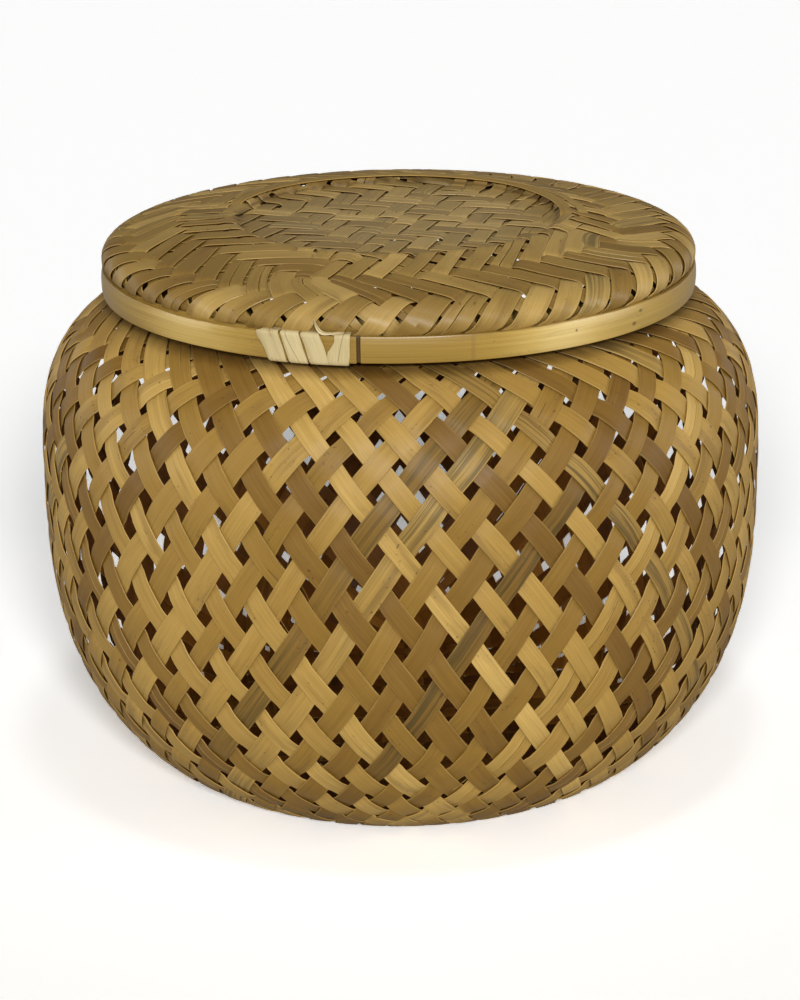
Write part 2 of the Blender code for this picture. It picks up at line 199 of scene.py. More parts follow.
def readProfile(profile, run, *names):
    # Past the rim, the radius and the height run straight on.
    beyond = run - np.clip(run, 0.0, profile["run"][-1])
    return [np.interp(run, profile["run"], profile[name])
            + beyond * profile["rimSlope"].get(name, 0.0) for name in names]


def swelling(narrow, wide, lowHeight, highHeight, fullness, steps=90):
    # A quarter curve from the narrow end, lying flat, to the belly, standing upright.
    turn = np.linspace(math.pi / 2, 0.0, steps)
    radius = narrow + (wide - narrow) * np.clip(np.cos(turn), 0, 1) ** bodyShape["softness"]
    height = highHeight + (lowHeight - highHeight) * np.sin(turn) ** (2 / fullness)
    return np.stack([radius, height], 1)


def bodyProfile():
    shape = bodyShape
    belly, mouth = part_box("body_weave")[1].x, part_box("body_weave")[1].z
    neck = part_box("mouth_inner_hoop")[1].x + shape["hoopFit"] + shape["wall"]
    fillet, seatHeight = shape["seatFillet"], shape["seatHeight"]
    seat = neck + fillet
    lower = swelling(shape["baseRadius"], belly, 0.0, shape["bellyHeight"], shape["lowerFullness"])
    upper = swelling(seat, belly, seatHeight, shape["bellyHeight"], shape["upperFullness"])
    bend = bentLine([(seat, seatHeight), (neck, seatHeight), (neck, seatHeight + fillet)])
    outline = np.concatenate([[(0.0, 0.0)], lower, upper[::-1][1:], bend, [(neck, mouth)]])
    return wallProfile(outline, shape["wall"], 1)


def lidProfile():
    shape = lidShape
    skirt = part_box("lid_inner_hoop")[1].x + shape["hoopFit"] + shape["wall"]
    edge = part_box("lid_outer_hoop")[1].x - shape["hoopFit"]
    low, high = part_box("lid_weave")[0].z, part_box("lid_weave")[1].z
    crest = high - shape["crestCover"]
    dish = crest - shape["dishDepth"]
    ring, middle, half = shape["ringInner"], shape["crestRadius"], shape["crestWidth"] / 2
    slope = shape["crestRise"] / (edge - middle)
    inset, corner, foot = shape["shoulderInset"], shape["cornerHeight"], shape["edgeHeight"]
    side = (edge, foot + (corner - foot) / 4)
    fold, fade = shape["foldHeight"], shape["foldFade"]
    outline = np.concatenate([
        [(0.0, dish)],
        bentLine([(ring - 2.6 * mm, dish), (ring - 0.7 * mm, dish), (ring, (dish + crest) / 2),
                  (ring + 0.8 * mm, crest), (middle, crest), (middle + half / 2, crest),
                  (middle + half, crest - slope * half)]),
        bentLine([(edge - inset, corner + slope * inset), (edge, corner), side], 16),
        bentLine([side, (edge, foot), (skirt + shape["foldReach"], fold), (skirt, fold - fade / 2),
                  (skirt, fold - fade)]),
        [(skirt, low)],
    ])
    return wallProfile(outline, shape["wall"], -1)


# The lattice of crossings. The middle is a square mat with halfCount strips each side of each
# axis; further out the strips lean both ways in level rows, twice halfCount to the quarter.

halfCount = 13
squareMean = 0.8116   # mean distance to a square's side, its corners being at 1

bodyWeave = {
    "pitch": 7.8 * mm,        # strip to strip in the mat under the base
    "width": (7.8 * mm, 7.5 * mm),
    "widthSpread": 0.12,
    "thickness": 0.5 * mm,
    "lift": 0.5 * mm,         # how far a strip rides above the wall's middle
    "lean": (56.0, 45.0),     # degrees from level, on the side and at the shoulder
    "leanFrom": 0.62,         # share of the way up where the lean starts to fall
    "squareRows": 9.0,
    "roundRows": 15.0,
    "floats": [7, 1],
    "twist": (0.0, 0.0),      # degrees that the mat, and the rows out to the rim, are turned
    "firstSide": 8.0,
    "stray": 0.12 * mm,       # how far each crossing is out of place
    "wander": 0.42 * mm,      # how far each strip wanders sideways along its run
    "sway": 3.6 * mm,
    "swayWaves": 3,
    "bunching": 0.5,          # degrees that strips drift sideways, closer here and wider there
    "bunchWaves": 5,
    "splitShare": 0.08,       # share of strips that have split lengthwise in two
    # painted shade, darker bands where shade falls: run from the middle or back from the rim, reach
    # and strength
    "paintedShadeBands": [(-21.8 * mm, 3.4 * mm, 0.8)],
    "dustAndSheen": 0.0,                           # how far from the middle dust and a painted grey sheen lie
    "narrowing": (0.0, 1.0 * mm, 0.0),     # run from the middle, reach, and share of the width
    "slivers": 70,
    "seed": 11,
    "steps": 7,
}

lidWeave = dict(
    bodyWeave,
    width=(6.9 * mm, 7.6 * mm),
    widthSpread=0.13,
    lift=0.55 * mm,
    lean=(52.0, 52.0),
    leanFrom=0.9,
    squareRows=7.0,
    roundRows=13.0,
    floats=[4, 3, 3, 2, 2, 2, 2, 2],
    twist=(-18.0, -20.8),
    firstSide=0.0,
    stray=0.15 * mm,
    wander=0.45 * mm,
    sway=0.8 * mm,
    bunching=0.7,
    splitShare=0.25,
    # painted shade at the foot of the ring, under its overhang
    paintedShadeBands=[(57.2 * mm, 1.1 * mm, 0.75)],
    # dust with a painted grey sheen over the lid's middle
    dustAndSheen=84.0 * mm,
    narrowing=(64.0 * mm, 12.0 * mm, 0.23),
    slivers=40,
    seed=23,
    steps=9,
)


def rowDistances(weave, profile):
    # How far each whole row lies from the middle along the wall, and the rim's own row.
    halfStep = math.pi / 4 / halfCount
    end, square = profile["run"][-1], squareMean * weave["pitch"]
    distances, distance, parts = [0.0], 0.0, 20
    while distances[-1] < end + weave["pitch"]:
        for part in range(parts):
            row = len(distances) - 1 + part / parts
            radius = readProfile(profile, distance, "radius")[0]
            lean = between(*weave["lean"], smoothStep(weave["leanFrom"] * end, end, distance))
            leaning = halfStep * radius * math.tan(math.radians(lean))
            level = smoothStep(weave["squareRows"], weave["roundRows"], row)
            distance += between(square, leaning, level) / parts
        distances.append(distance)
    distances = np.array(distances)
    return distances, float(np.interp(end, distances, np.arange(len(distances))))


def layLattice(weave, distances):
    # For strip number i counted from an axis: the turn from that axis, and the distance from
    # the middle, of the crossing that it makes in each row.
    rows = len(distances)
    lattice = np.zeros((2, halfCount, rows))
    for i in range(halfCount):
        for row in range(i + 1, rows):
            if row < halfCount:
                share = (row - i - 0.5) / row
            else:
                share = 1 - (i + 0.5) / halfCount + (row - halfCount) / (2 * halfCount)
            part = share % 1.0
            square = math.floor(share) + math.atan2(part, 1 - part) / (math.pi / 2)
            corner = math.hypot(part, 1 - part) / squareMean
            level = smoothStep(weave["squareRows"], weave["roundRows"], row)
            lattice[:, i, row] = (between(square, share, level) * math.pi / 2,
                                  distances[row] * between(corner, 1, level))
    return lattice


def partner(i, row):
    # The quarter turns between a strip and the one that it crosses in a row, and its number.
    return divmod(row - 1 - i, halfCount)


def easeLattice(weave, lattice, rounds=14):
    # Eases the bends where the square mat passes into level rows.
    def midway(i, row):
        # Midway between the crossings before and after this one on strip i
        before = lattice[:, i, row - 1] if row - 1 > i else lattice[:, i, row] * (-1, 1)
        return (before + lattice[:, i, row + 1]) / 2
    first, last = int(weave["squareRows"]), int(weave["roundRows"]) + 4
    for _ in range(rounds):
        eased = lattice.copy()
        for row in range(first, min(last, lattice.shape[2] - 1)):
            for i in range(min(row, halfCount)):
                quarters, j = partner(i, row)
                turn, away = midway(j, row)
                other = ((1 + quarters) * math.pi / 2 - turn, away)
                eased[:, i, row] = (midway(i, row) + other) / 2
        lattice = (lattice + eased) / 2
    return lattice


def clockwiseOnTop(weave, rimRow):
    # For each row, 1 where the strips that run clockwise lie on top, else -1.
    onTop = np.ones(int(rimRow) + 3)
    side, row, band = 1, int(rimRow) + 1, 0
    while row >= 0:
        length = weave["floats"][min(band, len(weave["floats"]) - 1)]
        onTop[max(row - length + 1, 0):row + 1] = side
        row, side, band = row - length, -side, band + 1
    return onTop


calmShare = 0.28   # of the way from the middle to the rim, within which nothing sways or bunches


def strayed(weave, angle, distance):
    # Hand-made unevenness: rows that sway gently up and down round the basket, and strips
    # that bunch a little sideways.
    share = distance / weave["end"]
    window = math.sin(math.pi * min(max((share - calmShare) / 0.66, 0.0), 1.0))
    swing = -math.cos(2 * math.pi * (share - calmShare) / (1 - calmShare))
    turn = angle + math.pi / 2 + math.radians(weave["firstSide"])
    lifted = distance + weave["sway"] * window * swing * math.sin(weave["swayWaves"] * turn)
    drift = math.sin(weave["bunchWaves"] * turn + 5.0 * share)
    return angle + math.radians(weave["bunching"]) * window * drift, lifted


def wandering(weave, quarter, i, row):
    # How far a strip has wandered round the basket where it reaches a row.
    own = weave["own"][quarter, i]
    slow = math.sin(0.33 * row + 9 * own[0]) * own[1]
    return weave["wander"] * (slow + 0.55 * math.sin(0.71 * row + 20 * own[2]) + 0.5 * own[3])


def stripNodes(weave, quarter, i):
    # The crossings along one strip, end to end: plane places and heights over the wall.
    places, heights, rows = [], [], int(weave["rimRow"]) + 1
    inward, outward = range(rows, i, -1), range(i + 1, rows + 1)
    for way, row in [(1, row) for row in inward] + [(-1, row) for row in outward]:
        quarters, j = partner(i, row)
        owner, other = (quarter, i), ((quarter + way * (1 + quarters)) % 4, j)
        if way == 1:
            owner, other = other, owner
        stray = weave["strays"][owner[0], owner[1], row] * weave["stray"]
        first = wandering(weave, *owner, row)
        second = wandering(weave, *other, -row)
        turn, away = weave["lattice"][:, i, row]
        distance = away + stray[0] + (first - second) * 0.6
        radius = max(readProfile(weave["profile"], distance, "radius")[0], 40 * mm)
        angle = quarter * math.pi / 2 + way * turn + (stray[1] + (first + second) / 2) / radius
        angle, distance = strayed(weave, angle, distance)
        places.append((distance * math.cos(angle), distance * math.sin(angle)))
        heights.append(-way * weave["onTop"][row])
    return np.array(places), np.array(heights)


def splineThrough(points, at):
    # A smooth curve through the points, read at the given point numbers.
    padded = np.concatenate([[2 * points[0] - points[1]], points, [2 * points[-1] - points[-2]]])
    index = np.clip(np.floor(at).astype(int), 0, len(points) - 2)
    t = (at - index)[:, None]
    a, b, c, d = (padded[index + step] for step in range(4))
    return 0.5 * (2 * b + (c - a) * t + (2 * a - 5 * b + 4 * c - d) * t ** 2
                  + (3 * b - a - 3 * c + d) * t ** 3)


def wovenHeight(heights, at, stiffness=3.0):
    # Level over a crossing, with a quick dive between two crossings of unlike height.
    index = np.clip(np.floor(at).astype(int), 0, len(heights) - 2)
    wave = np.cos(math.pi * (at - index))
    wave = wave * (1 + stiffness) / (1 + stiffness * np.abs(wave))
    here, after = heights[index], heights[index + 1]
    return (here + after) / 2 + (here - after) / 2 * wave


stripSection = np.array([   # share of the half width and of the half thickness, once round
    (1.0, 0.0), (0.95, 0.8), (0.0, 1.0), (-0.95, 0.8),
    (-1.0, 0.0), (-0.95, -0.8), (0.0, -1.0), (0.95, -0.8),
])
sliverSections = 12


def onWall(weave, x, y):
    # A plane place as a place on the wall, with the direction out of the wall.
    run = np.hypot(x, y)
    twist = between(*weave["twist"], smoothStep(35 * mm, 85 * mm, run))
    angle = np.arctan2(y, x) + np.radians(twist)
    radius, height, outR, outZ = readProfile(weave["profile"], run,
                                             "radius", "height", "outR", "outZ")
    cos, sin = np.cos(angle), np.sin(angle)
    return (np.stack([radius * cos, radius * sin, height], -1),
            np.stack([outR * cos, outR * sin, outZ], -1))


def layStrip(weave, quarter, i, part=(-1.0, 1.0), sliver=None):
    # part is the share of the strip's width that is laid, from edge to edge. A sliver is a
    # splinter that peels off one edge: its start and length in crossings, side and spread.
    places, heights = stripNodes(weave, quarter, i)
    cut = 1 - weave["rimRow"] % 1
    crossings = len(places) - 1 - 2 * cut
    at = np.linspace(cut, cut + crossings, int(crossings * weave["steps"]))
    thickness = weave["thickness"]
    if sliver:
        start, length, edgeSide, spread = sliver
        share = np.linspace(0.0, 1.0, sliverSections)
        at = np.clip(cut + start * (crossings - length), 0, len(places)) + length * share
        inner = 0.97 + spread * share ** 1.7
        outer = inner + 0.045 - 0.025 * share
        part = (inner, outer) if edgeSide > 0 else (-outer, -inner)
        thickness = 0.3 * thickness
    centre = splineThrough(places, at)
    rise = wovenHeight(heights, at)[:, None] * weave["lift"]
    base, outward = onWall(weave, *centre.T)
    middle = base + outward * rise
    side = unit(np.cross(outward, unit(np.gradient(middle, axis=0))))
    # The same sideways step on the plane, by how a short plane step maps to the wall
    step = 0.5 * mm
    stepX = onWall(weave, centre[:, 0] + step, centre[:, 1])[0] - base
    stepY = onWall(weave, centre[:, 0], centre[:, 1] + step)[0] - base
    xx, xy, yy, sx, sy = (np.sum(a * b, 1)[:, None] for a, b in (
        (stepX, stepX), (stepX, stepY), (stepY, stepY), (side, stepX), (side, stepY)))
    sideways = np.hstack([sx * yy - sy * xy, sy * xx - sx * xy]) * step \
        / np.maximum(xx * yy - xy * xy, 1e-20)
    run = runAlong(middle)[:, None]
    own = weave["own"][quarter, i]
    distance = np.hypot(*centre.T)[:, None]
    thinAt, thinReach, thinShare = weave["narrowing"]
    width = between(*weave["width"], smoothStep(0.3, 0.95, distance / weave["end"]))
    width = width * (1 - thinShare * np.exp(-((distance - thinAt) / thinReach) ** 2))
    width = width * (1 + weave["widthSpread"] * own[0])
    width = width * (1 + 0.025 * np.sin(run / (23 * mm) + 9 * own[1])
                     + 0.015 * np.sin(run / (7.1 * mm) + 31 * own[2]))
    low, high = (np.reshape(share, (-1, 1)) for share in part)
    sideShare, thickShare = stripSection.T
    across = ((low + high) / 2 + sideShare * (high - low) / 2) * width / 2
    x, y = np.moveaxis(centre[:, None] + sideways[:, None] * across[..., None], -1, 0)
    back = np.minimum(1.0, weave["end"] / np.maximum(np.hypot(x, y), mm))   # trims at the rim
    spot, out = onWall(weave, x * back, y * back)
    fromMiddle = np.hypot(x, y) * back
    return spot + out * (rise + thickShare * thickness / 2)[..., None], {
        "along": run,
        "across": across,
        "edge": np.abs(sideShare),
        "inside": thickShare < 0,
        # painted shade in bands: under the lid's hoop on the body, at the ring's foot on the lid
        "dirt": sum(strength * np.exp(-((fromMiddle - place % weave["end"]) / reach) ** 2)
                    for place, reach, strength in weave["paintedShadeBands"]),
        # dust and a painted grey sheen, strongest at the middle
        "dustAndSheen": 1 - smoothStep(0.35, 1.0, fromMiddle / max(weave["dustAndSheen"], mm)),
    }


def weaveWall(weave, profile, name):
    # All the strips of one woven wall, as four pieces, one for each side that they start from.
    distances, rimRow = rowDistances(weave, profile)
    source = np.random.RandomState(weave["seed"])
    strays = np.clip(source.normal(0, 1, (4, halfCount, len(distances) + 2, 2)), -2, 2)
    weave = dict(weave, profile=profile, end=profile["run"][-1], rimRow=rimRow, strays=strays,
                 lattice=easeLattice(weave, layLattice(weave, distances)),
                 onTop=clockwiseOnTop(weave, rimRow), own=source.uniform(-1, 1, (4, halfCount, 6)))
    print(name, "rows to the rim", round(rimRow, 2))
    pieces = []
    for quarter, sideName in enumerate(("right", "back", "left", "front")):
        strips = []
        for i in range(halfCount):
            own = weave["own"][quarter, i]
            laid = [((-1.0, 1.0), None)]
            if 0.5 + 0.5 * own[5] < weave["splitShare"]:
                cut = 0.5 * own[2]
                laid = [((-1.0, cut - 0.03), None), ((cut + 0.03, 1.0), None)]
            for _ in range(source.poisson(weave["slivers"] / (4 * halfCount))):
                start, length, spread = source.uniform((0, 0.7, 0.1), (1, 2.0, 0.5))
                laid.append((None, (start, length, source.choice([-1, 1]), spread)))
            for number, (part, sliver) in enumerate(laid):
                sections, layers = layStrip(weave, quarter, i, part, sliver)
                layers["tone"] = 0.5 + 0.5 * own[3] - (0.0 if sliver else 0.12 * number)
                layers["seed"] = 0.5 + 0.5 * own[4]
                strips.append((sections, layers))
        pieces.append(addStrips(name + "_strips_" + sideName, strips))
    return pieces


ringLook = {
    # degrees from the front of both ends, radius at the start, middle and end, width, tone
    "strips": [(-101.0, -281.0, 61.6 * mm, 58.6 * mm, 59.8 * mm, 4.5 * mm, 0.5),
               (-196.0, -277.0, 62.9 * mm, 63.7 * mm, 66.4 * mm, 3.7 * mm, 0.66),
               (-112.0, -170.0, 66.2 * mm, 64.0 * mm, 63.1 * mm, 3.4 * mm, 0.36)],
    "thickness": 0.42 * mm,
    "sink": 1.5 * mm,          # how deep the ends dive into the weave
    "sinkTurn": 9.0,
    "waver": 0.22 * mm,
    "fallPoints": 90,          # points of the lid's profile outside the crest that they lie on
    "stepDegrees": 1.0,
}


def ringStrip(name, profile, start, end, radii, width, tone):
    # A long strip of the lid's weave that runs along the ring, both its ends tucked in.
    look = ringLook
    share = np.linspace(0.0, 1.0, int(abs(end - start) / look["stepDegrees"]))[:, None]
    turn = start + (end - start) * share
    angle = np.radians(turn)
    middle = np.polyval(np.polyfit([0.0, 0.5, 1.0], radii, 2), share)
    middle = middle + look["waver"] * np.sin(angle * 5 + 40 * tone)
    wide = width * (1 + 0.09 * np.sin(angle * 8 + 9 * tone))
    toEnd = np.minimum(share, 1 - share) * abs(end - start)
    sunk = look["sink"] * (1 - smoothStep(0.0, look["sinkTurn"], toEnd))
    run = np.append(0.0, np.cumsum(np.abs(np.diff(angle, axis=0)) * middle[1:]))
    sideShare, thickShare = stripSection.T
    across = sideShare * wide / 2
    crest = int(np.argmax(profile["height"]))
    fall = slice(crest, crest + look["fallPoints"])
    top = np.interp(middle + across, profile["radius"][fall], profile["height"][fall])
    top = top + lidShape["wall"] / 2
    height = top - sunk + (1 + thickShare) * look["thickness"] / 2
    return addStrip(name, around(middle + across, turn, height), along=run[:, None],
                    across=across, edge=np.abs(sideShare), inside=thickShare < 0, tone=tone,
                    seed=0.9 * tone)


# Hoops: split bamboo bent round, the ends lapped and thinned under a lashing

hoopLook = {
    "mouthThickness": 2.0 * mm,
    "lidThickness": 2.2 * mm,
    "softEdge": 0.75 * mm,
    "innerEdge": 0.3 * mm,
    "dome": 0.4 * mm,
    "lapShow": 2.3 * mm,       # how far the top end runs past the lashing
    "lapGroove": 1.0 * mm,     # the open groove beside the top end
    "lapDrop": 0.4 * mm,
    "lapTuck": 7.0 * mm,
    "lapTaper": 14.0 * mm,
    "lapEndGap": 1.5 * mm,
    "fit": 0.3 * mm,
    "waver": 0.18 * mm,        # uneven height of a hand-split strip
    "tone": 0.36,
    # Paler stretches of skin round the hoop. The one at 31 degrees on the front right is a painted
    # highlight, and the one at 50 degrees is paler skin with painted highlight.
    "paleSkinAndHighlights": [(31.0, 12.0, 0.7), (50.0, 12.0, 0.25), (-42.0, 12.0, 0.4), (150.0, 50.0, 0.2)],
    "stepDegrees": 1.2,
}

lashingLook = {
    "width": 6.3 * mm,
    "gap": 0.6 * mm,
    "turns": 4,
    "slant": 3.4 * mm,
    "lastSpread": 2.9 * mm,
    # how far down the last turn, and by how much its left edge is wider there
    "lastEdge": ([0.0, 0.2, 0.4, 0.6, 0.8, 1.0],
                 [-1.3 * mm, -1.4 * mm, -0.4 * mm, 0.8 * mm, 0.9 * mm, 0.3 * mm]),
    "thickness": 0.5 * mm,
    "fit": 0.35 * mm,
    "cornerRound": 1.0 * mm,
    "flare": 1.9 * mm,         # how far the first turn's frayed edge spreads at the top
    # waves along both edges: height, length for each radian, and start in radians
    "waves": [(0.12 * mm, 3.1 * mm, 0.0), (0.08 * mm, 1.3 * mm, 2.0)],
}

underLook = {
    "thickness": 0.6 * mm,
    "rise": 1.5 * mm,
    "lean": 1.0 * mm,
    "hidden": 0.8 * mm,
    "showFrom": -23.0,         # degrees round from the front where its edge starts to show
    "showTurn": 56.0,
    "start": 123.0,
}

lashingAngles = {
    "lid_front_lashing": -17.0, "lid_back_lashing": 163.0,
    "mouth_lashing_left": -77.0, "mouth_lashing_right": 43.0, "mouth_lashing_back": 163.0,
}


def roundedSection(half, high, softIn, softOut, steps=3):
    # Once round a flat strip's section as (out, up), its inner and outer edges softened and
    # its skin side slightly domed.
    corners = []
    for outSide, upSide in ((1, -1), (1, 1), (-1, 1), (-1, -1)):
        soft = softOut if outSide == 1 else softIn
        dome = hoopLook["dome"] if soft == hoopLook["softEdge"] else 0.0
        inside = (outSide * (half - soft), upSide * high)
        beside = (outSide * (half - dome), upSide * (high - soft))
        ends = (inside, beside) if outSide * upSide < 0 else (beside, inside)
        corners.append(bentCorner(ends[0], (outSide * (half - dome), upSide * high), ends[1], steps))
        if outSide * upSide < 0:
            rise = np.array([-0.6, -0.2, 0.2, 0.6]) * outSide
            out = outSide * (half - dome * rise ** 2)
            corners.append(np.stack([out, rise * high], 1))
    return np.concatenate(corners)


def lashingRun():
    look = lashingLook
    return (look["width"] + look["gap"]) * (look["turns"] - 1) + look["lastSpread"]


def sweptHoop(name, startAngle, turns, rIn, rOut, low, high, skinSide, dirt):
    # Joins sections of a bent strip; rIn, rOut and high may change along it, and so may its painted
    # shade.
    tones = np.full(len(turns), hoopLook["tone"])
    # pale skin, with a painted highlight on the front right
    for middle, reach, paler in hoopLook["paleSkinAndHighlights"]:   # degrees from the front, and how much
        away = (startAngle - turns - middle + 180) % 360 - 180
        tones = tones + paler * np.exp(-(away / reach) ** 2)
    softs = (hoopLook["innerEdge"], hoopLook["softEdge"])
    softIn, softOut = softs if skinSide == "out" else softs[::-1]
    sections, across = [], []
    for turn, inner, outer, top in zip(turns, rIn, rOut, high):
        half = (outer - inner) / 2
        section = roundedSection(half, (top - low) / 2, min(softIn, half * 0.8),
                                 min(softOut, half * 0.8))
        sections.append(around((outer + inner) / 2 + section[:, 0], startAngle - turn,
                               (top + low) / 2 + section[:, 1]))
        across.append(section[:, 1])
    return addStrip(name, sections, along=np.radians(turns)[:, None] * np.mean(rOut),
                    across=across, edge=np.abs(across) / (np.mean(high - low) / 2),
                    tone=tones[:, None], dirt=dirt[:, None], seed=(len(name) * 7 % 10) / 10)


def lappedHoop(name, node, thickness, lashing, skinSide):
    look = hoopLook
    nodeLow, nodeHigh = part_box(node)
    outer, low, high = nodeHigh.x, nodeLow.z, nodeHigh.z
    inner = outer - thickness
    middle = (inner + outer) / 2
    lashed = lashingRun() + lashingLook["width"]
    turnsOf = {key: math.degrees(look[key] / middle)
               for key in ("lapTaper", "lapGroove", "lapDrop", "lapEndGap")}
    taper, groove, drop, endGap = turnsOf.values()
    startAngle = lashingAngles[lashing] + math.degrees((lashed / 2 + look["lapShow"]) / middle)
    lap = math.degrees((look["lapShow"] + lashed + look["lapTuck"]) / middle)
    topEnd = lap + endGap
    turns = np.union1d(np.arange(0.0, 360.0 + lap, look["stepDegrees"]),
                       [lap, topEnd, topEnd + taper, 360.0 - groove - 2 * drop,
                        360.0 - groove - drop, 360.0 - groove, 360.0, 360.0 + lap])
    insideThin = np.clip((topEnd + taper - turns) / taper, 0, 1)
    outsideThin = np.clip((turns - 360.0 + groove + drop) / drop, 0, 1)
    rIn = inner + (middle + look["fit"] / 2 - inner) * insideThin
    rOut = outer - (outer - middle + look["fit"] / 2) * outsideThin
    waver = look["waver"] * (np.sin(np.radians(turns) * 7 + outer * 900)
                             + 0.5 * np.sin(np.radians(turns) * 17 + 1))
    calm = np.clip(np.minimum(turns - lap, 350.0 - turns) / 20, 0, 1)
    # the outer face's drop into the groove beside the top end carries painted shade
    return sweptHoop(name, startAngle, turns, rIn, rOut, low, high + waver * calm, skinSide,
                     outsideThin * (turns < 360.0 + groove))


def underStrip():
    look = underLook
    nodeLow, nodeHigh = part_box("lid_under_strip")
    inner, low = nodeHigh.x - look["thickness"], nodeLow.z
    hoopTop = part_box("lid_outer_hoop")[1].z
    turns = np.arange(0.0, 359.0, hoopLook["stepDegrees"])[:, None]
    left = look["showFrom"] - (look["start"] - turns)
    shown = np.sin(np.pi * np.clip(left / look["showTurn"], 0, 1)) ** 0.5
    top = hoopTop + shown * look["rise"] - (1 - shown) * look["hidden"]
    levels = np.array([-1.0, -0.2, 0.6, 0.85, 1.0])   # up the inside, then back down outside
    levels = np.append(levels, levels[::-1])
    height = low + (top - low) * (levels + 1) / 2
    lean = shown * look["lean"] * np.clip((height - hoopTop) / look["rise"] + 0.35, 0, 2)
    radius = inner + np.repeat([0.0, look["thickness"]], 5) + lean
    return addStrip("lid_under_strip_bent", around(radius, look["start"] - turns, height),
                    along=np.radians(turns) * inner, across=height - low, edge=np.abs(levels),
                    tone=0.6, seed=0.4)


def smoothRun(points, cutBack, steps=5):
    # Rounds each inner corner of a run of (along, radius, height) points.
    points = [np.array(point) for point in points]
    run = [points[0][None]]
    for before, here, after in zip(points, points[1:], points[2:]):
        start, end = (here + way * min(0.5, cutBack / np.linalg.norm(way))
                      for way in (before - here, after - here))
        run.append(bentCorner(start, here, end, steps))
    run = np.concatenate([*run, points[-1][None]])
    length = runAlong(run)
    even = np.linspace(0.0, length[-1], int(length[-1] / (0.55 * mm)))
    return np.stack([np.interp(even, length, values) for values in run.T], 1), even


def woundPeel(name, rIn, rOut, low, high, angle):
    # One unbroken peel: up inside, over the top, down the outside with a slant, and under.
    look = lashingLook
    reach = look["fit"] + look["thickness"] / 2
    left, right, bottom, top = rIn - reach, rOut + reach, low - reach, high + reach
    tops = (look["width"] + look["gap"]) * np.arange(look["turns"])
    tops[-1] += look["lastSpread"]
    bottoms = tops + look["slant"]
    bottoms[-1] = tops[-1] - look["fit"]
    corners = [(tops[0] - look["slant"], left, (bottom + top) / 2)]
    for over, under in zip(tops, bottoms):
        corners += [(over, left, top), (over, right, top), (under, right, bottom),
                    (under, left, bottom)]
    corners[-1] = (bottoms[-1], (left + right) / 2, bottom)
    path, length = smoothRun(corners, look["cornerRound"])
    place, out, up = path.T[..., None]
    wobble = sum(swing * np.sin(length / wave + start) for swing, wave, start in look["waves"])
    rightWidth, leftWidth = (look["width"] / 2 + way * wobble[:, None] for way in (-1, 1))
    down = (high - up) / (high - low)
    flaring = np.clip(1 - np.abs(place - tops[0] - 0.8 * mm) / (2.6 * mm), 0, 1)
    flare = look["flare"] * flaring * np.clip(1 - down, 0, 1)
    lastTurn = np.abs(place - tops[-1]) < 1.2 * mm
    leftWidth = leftWidth + (out > rOut) * (flare + lastTurn * np.interp(down, *look["lastEdge"]))
    # The peel's width lies along the hoop, and its face square to the run
    slope = unit(np.gradient(path, axis=0)[:, 1:])
    side, face = np.transpose([(1, 0), (0.9, 0.9), (0.3, 1), (-0.3, 1), (-0.9, 0.9),
                               (-1, 0), (-0.9, -0.9), (-0.3, -1), (0.3, -1), (0.9, -0.9)])
    across = side * np.where(side < 0, leftWidth, rightWidth)
    turn = angle + np.degrees((place - lashingRun() / 2 + across) / ((rIn + rOut) / 2))
    face = face * look["thickness"] / 2
    return addStrip(name, around(out + face * slope[:, 1:], turn, up - face * slope[:, :1]),
                    along=length[:, None], across=across, edge=np.abs(side), tone=0.55,
                    seed=(angle % 10) / 10)


tailLook = {
    # along the hoop from the last turn, out from the hoop's face, and up from its top, in mm
    "corners": [(1.6, -1.2, 1.15), (-2.2, 0.5, 1.1), (-5.4, 0.9, 0.9), (-7.0, 1.1, 2.9),
                (-7.9, 0.7, 5.4)],
    "cornerRound": 1.6 * mm,
    "halfWidth": 1.15 * mm,
    "halfThickness": 0.16 * mm,
    "twist": (15.0, 70.0),     # degrees at its root, and by how much more it turns to face out
}


def peelTail():
    # The loose end of the front lashing, curling up beside its last turn.
    look = tailLook
    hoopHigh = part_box("lid_outer_hoop")[1]
    corners = np.array(look["corners"]) * mm + (lashingRun(), hoopHigh.x, hoopHigh.z)
    path, length = smoothRun(corners, look["cornerRound"])
    share = length / length[-1]
    width = look["halfWidth"] * np.clip(1.25 - share, 0.08, 1.0) * (0.8 + 0.2 * np.cos(share * 9))
    slope = unit(np.gradient(path, axis=0))
    twist = np.radians(look["twist"][0] + look["twist"][1] * share)
    sideways = unit(np.stack([-slope[:, 2] * np.sin(twist), np.cos(twist),
                              slope[:, 0] * np.sin(twist) + 0.2], 1))
    facing = np.cross(slope, sideways) * look["halfThickness"]
    side, face = np.transpose([(1, 0), (0.7, 0.9), (-0.7, 0.9), (-1, 0), (-0.7, -0.9), (0.7, -0.9)])
    across = side * width[:, None]
    spots = path[:, None] + sideways[:, None] * across[..., None] + facing[:, None] * face[:, None]
    along, out, up = np.moveaxis(spots, -1, 0)
    turn = lashingAngles["lid_front_lashing"] + np.degrees((along - lashingRun() / 2) / hoopHigh.x)
    return addStrip("lid_front_lashing_tail", around(out, turn, up), along=length[:, None],
                    across=across, edge=np.abs(side), tone=0.8, seed=0.3)


# Finishes

def paint(red, green, blue):
    # A colour as read on a screen, 0 to 255, turned into the shader's linear values.
    def linear(value):
        value /= 255
        return value / 12.92 if value <= 0.04045 else ((value + 0.055) / 1.055) ** 2.4
    return (linear(red), linear(green), linear(blue), 1.0)


